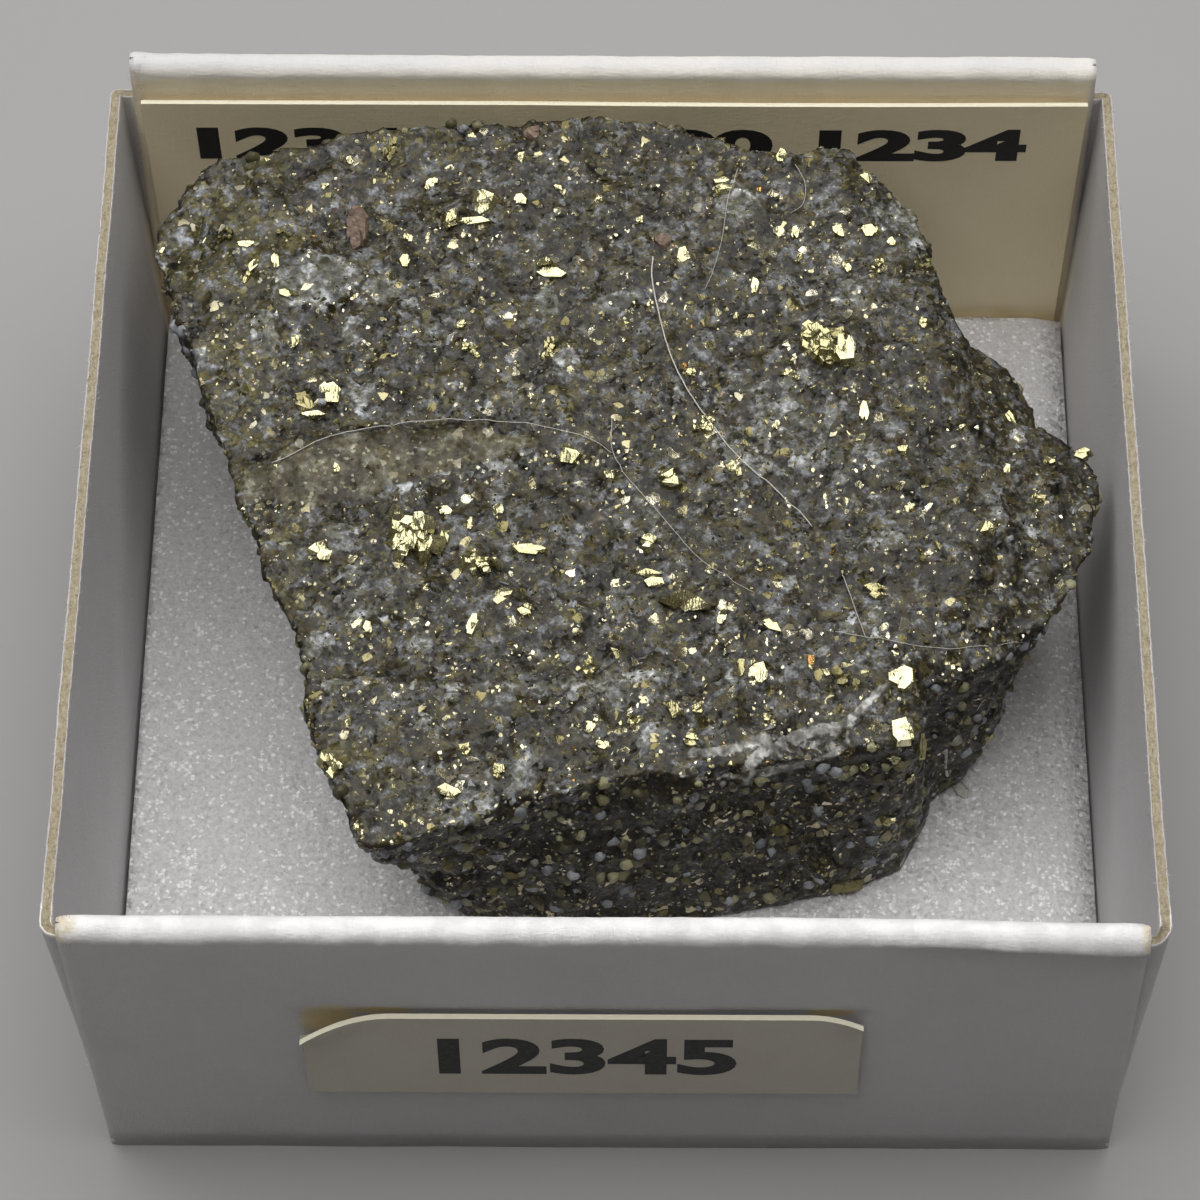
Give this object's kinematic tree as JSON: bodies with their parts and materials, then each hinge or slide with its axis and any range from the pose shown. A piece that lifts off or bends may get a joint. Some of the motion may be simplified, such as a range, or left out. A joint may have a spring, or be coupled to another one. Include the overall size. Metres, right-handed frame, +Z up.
{
  "type": "mineral specimen in a card tray",
  "caption": "Broken piece of dark pyrite ore with quartz, lying on a foam pad in a small square folded card tray with a card behind it and a small paper label on the front",
  "frame": {"origin": "Middle of the square that the tray's underside makes on the table, at the table's height", "axes": "+Z up, away from the table; -Y towards the tray's front wall, which carries the small label; +Y towards the back wall, where the card stands; +X to the right seen from the front"},
  "size_m": [0.0416, 0.0421, 0.0192],
  "materials": {
    "ore": "broken",
    "tray_card": "matte",
    "foam": "foam",
    "name_card": "matte",
    "number_paper": "matte"
  },
  "bodies": {
    "root": {"specimen": "ore", "tray": "tray_card", "foam_pad": "foam", "name_label": "name_card", "number_label": "number_paper"}
  },
  "joints": []
}
